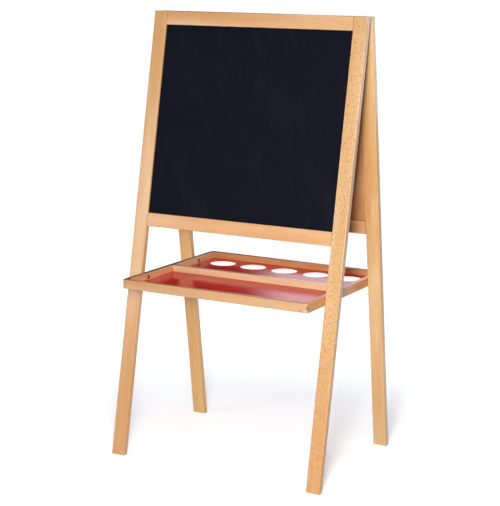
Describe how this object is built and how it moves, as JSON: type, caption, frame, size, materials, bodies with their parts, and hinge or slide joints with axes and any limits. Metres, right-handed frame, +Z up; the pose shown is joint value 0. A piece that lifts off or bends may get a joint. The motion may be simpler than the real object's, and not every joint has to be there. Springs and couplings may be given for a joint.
{
  "type": "kids easel",
  "caption": "Double-sided folding beech easel for children, with a chalkboard in front, a dry-wipe board behind and a red-floored paint tray with cup holes between the legs.",
  "frame": {"origin": "middle of the footprint, on the floor", "axes": "+X to the viewer's right when facing the chalkboard, +Y towards the whiteboard side, +Z up"},
  "size_m": [0.58, 0.455, 1.1066],
  "materials": {
    "beech": "satin clear lacquer on light beech",
    "dowel_beech": "unfinished turned beech",
    "chalkboard": "matte blue-black chalkboard paint on hardboard, plain brown hardboard behind",
    "whiteboard": "gloss white dry-wipe coating on hardboard, plain brown hardboard behind",
    "red_lacquer": "gloss red lacquer on thin hardboard",
    "zinc_steel": "bright zinc plating",
    "brass": "plain turned brass"
  },
  "bodies": {
    "front_frame": {"front_left_leg": "beech", "front_right_leg": "beech", "front_top_rail": "beech", "front_lower_rail": "beech", "chalkboard_panel": "chalkboard", "front_left_top_dowel_1": "dowel_beech", "front_left_top_dowel_2": "dowel_beech", "front_left_lower_dowel_1": "dowel_beech", "front_left_lower_dowel_2": "dowel_beech", "front_left_insert_nut": "brass", "left_hinge_front_leaf": "zinc_steel", "left_hinge_front_screw_1": "zinc_steel", "left_hinge_front_screw_2": "zinc_steel", "left_hinge_pin": "zinc_steel", "front_left_tray_bolt": "zinc_steel", "front_right_top_dowel_1": "dowel_beech", "front_right_top_dowel_2": "dowel_beech", "front_right_lower_dowel_1": "dowel_beech", "front_right_lower_dowel_2": "dowel_beech", "front_right_insert_nut": "brass", "right_hinge_front_leaf": "zinc_steel", "right_hinge_front_screw_1": "zinc_steel", "right_hinge_front_screw_2": "zinc_steel", "right_hinge_pin": "zinc_steel", "front_right_tray_bolt": "zinc_steel"},
    "rear_frame": {"rear_left_leg": "beech", "rear_right_leg": "beech", "rear_top_rail": "beech", "rear_lower_rail": "beech", "whiteboard_panel": "whiteboard", "rear_left_top_dowel_1": "dowel_beech", "rear_left_top_dowel_2": "dowel_beech", "rear_left_lower_dowel_1": "dowel_beech", "rear_left_lower_dowel_2": "dowel_beech", "rear_left_insert_nut": "brass", "left_hinge_rear_leaf": "zinc_steel", "left_hinge_rear_screw_1": "zinc_steel", "left_hinge_rear_screw_2": "zinc_steel", "rear_right_top_dowel_1": "dowel_beech", "rear_right_top_dowel_2": "dowel_beech", "rear_right_lower_dowel_1": "dowel_beech", "rear_right_lower_dowel_2": "dowel_beech", "rear_right_insert_nut": "brass", "right_hinge_rear_leaf": "zinc_steel", "right_hinge_rear_screw_1": "zinc_steel", "right_hinge_rear_screw_2": "zinc_steel"},
    "tray": {"tray_front_rail": "beech", "tray_rear_rail": "beech", "tray_left_rail": "beech", "tray_right_rail": "beech", "tray_divider": "beech", "tray_front_floor": "red_lacquer", "tray_cup_floor": "red_lacquer", "rear_left_tray_bolt": "zinc_steel", "tray_front_left_corner_dowel": "dowel_beech", "tray_rear_left_corner_dowel": "dowel_beech", "rear_right_tray_bolt": "zinc_steel", "tray_front_right_corner_dowel": "dowel_beech", "tray_rear_right_corner_dowel": "dowel_beech"}
  },
  "joints": [
    {"name": "frame_fold", "type": "hinge", "parent": "front_frame", "child": "rear_frame", "pos_m": [0, 0, 1.10115], "axis": [-1, 0, 0], "range_deg": [0, 20]},
    {"name": "tray_fold", "type": "hinge", "parent": "front_frame", "child": "tray", "pos_m": [0, -0.12773, 0.4485], "axis": [-1, 0, 0], "range_deg": [0, 100]}
  ],
  "couplings": [
    {"joint": "tray_fold", "follows": "frame_fold", "ratio": 5}
  ]
}
